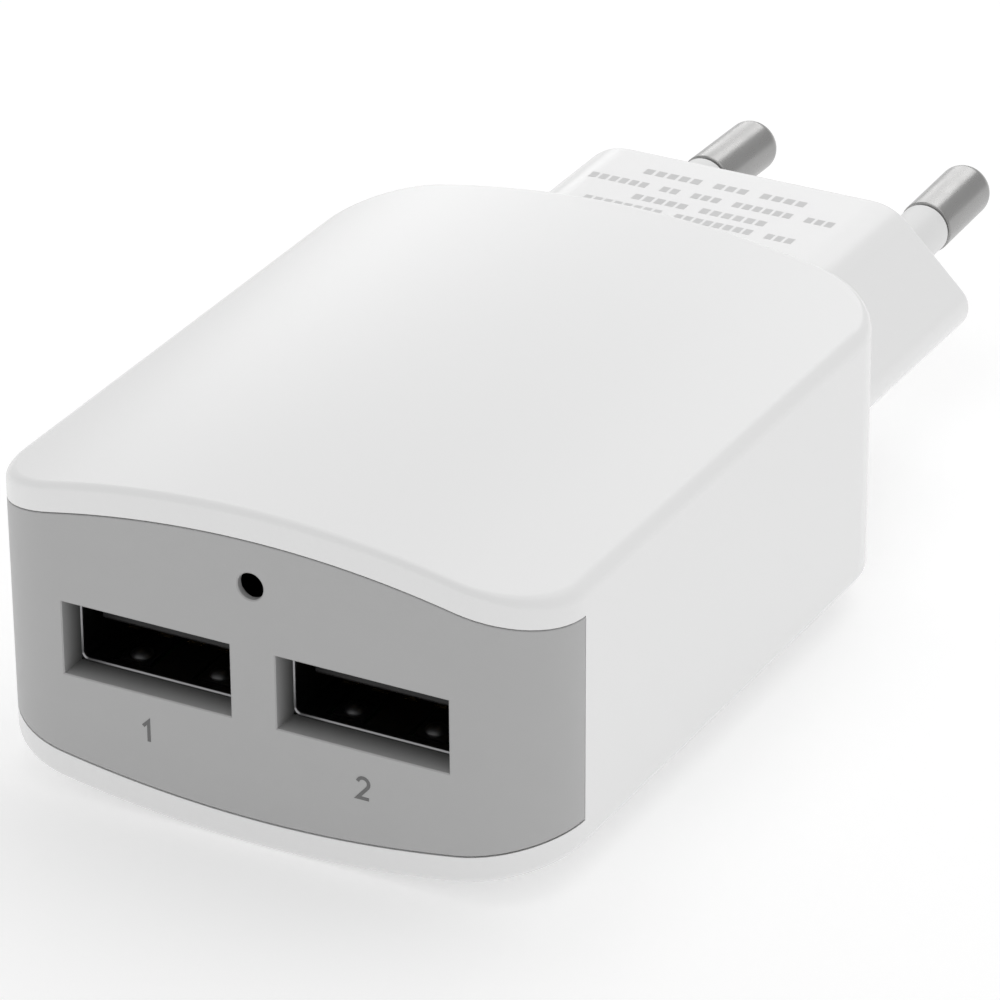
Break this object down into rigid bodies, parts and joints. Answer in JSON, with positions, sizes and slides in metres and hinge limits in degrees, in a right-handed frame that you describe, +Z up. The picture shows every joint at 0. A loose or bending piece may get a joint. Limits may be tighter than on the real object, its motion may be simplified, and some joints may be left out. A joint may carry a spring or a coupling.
{
  "type": "usb wall charger",
  "caption": "Flat mains wall charger with fixed round pins on a long plug neck and two USB-A sockets in a grey wrap-round front panel.",
  "frame": {"origin": "centre of the bottom of the object's bounding box, as it lies on one broad face", "axes": "+X to the right when looking at the sockets, +Y from the sockets towards the mains pins, +Z up out of the upper broad face"},
  "size_m": [0.042, 0.0906, 0.0245],
  "materials": {
    "casing_white": "gloss moulded",
    "panel_grey": "satin moulded",
    "sleeve_white": "satin moulded",
    "pin_nickel": "satin nickel plate",
    "carrier_white": "moulded",
    "strip_bronze": "stamped strip",
    "shell_steel": "plated sheet",
    "socket_black": "moulded",
    "contact_gold": "gold plate",
    "board_green": "solder mask",
    "can_green": "shrink sleeve",
    "can_black": "shrink sleeve",
    "component_black": "moulded epoxy",
    "ferrite_grey": "sintered",
    "tape_yellow": "tape",
    "disc_blue": "dipped epoxy",
    "opto_white": "moulded epoxy",
    "resistor_green": "lacquer",
    "led_resin": "clear resin",
    "lead_tin": "tinned wire"
  },
  "bodies": {
    "root": {"housing": "casing_white", "front_panel": "panel_grey", "pin_left": "pin_nickel", "sleeve_left": "sleeve_white", "mains_strip_left": "strip_bronze", "usb_shell_left": "shell_steel", "usb_insulator_left": "socket_black", "usb_contact_left_1": "contact_gold", "usb_contact_left_2": "contact_gold", "usb_contact_left_3": "contact_gold", "usb_contact_left_4": "contact_gold", "pin_right": "pin_nickel", "sleeve_right": "sleeve_white", "mains_strip_right": "strip_bronze", "usb_shell_right": "shell_steel", "usb_insulator_right": "socket_black", "usb_contact_right_1": "contact_gold", "usb_contact_right_2": "contact_gold", "usb_contact_right_3": "contact_gold", "usb_contact_right_4": "contact_gold", "pin_carrier": "carrier_white", "main_board": "board_green", "output_capacitor_1": "can_green", "output_capacitor_2": "can_green", "output_diode": "component_black", "transformer_bobbin": "component_black", "transformer_winding": "tape_yellow", "transformer_core_left": "ferrite_grey", "transformer_core_right": "ferrite_grey", "y_capacitor": "disc_blue", "optocoupler": "opto_white", "controller_chip": "component_black", "input_choke": "component_black", "input_capacitor_1": "can_black", "input_capacitor_2": "can_black", "bridge_rectifier": "component_black", "fuse_resistor": "resistor_green", "indicator_led": "led_resin", "led_lead_left": "lead_tin", "led_lead_right": "lead_tin"}
  },
  "joints": []
}
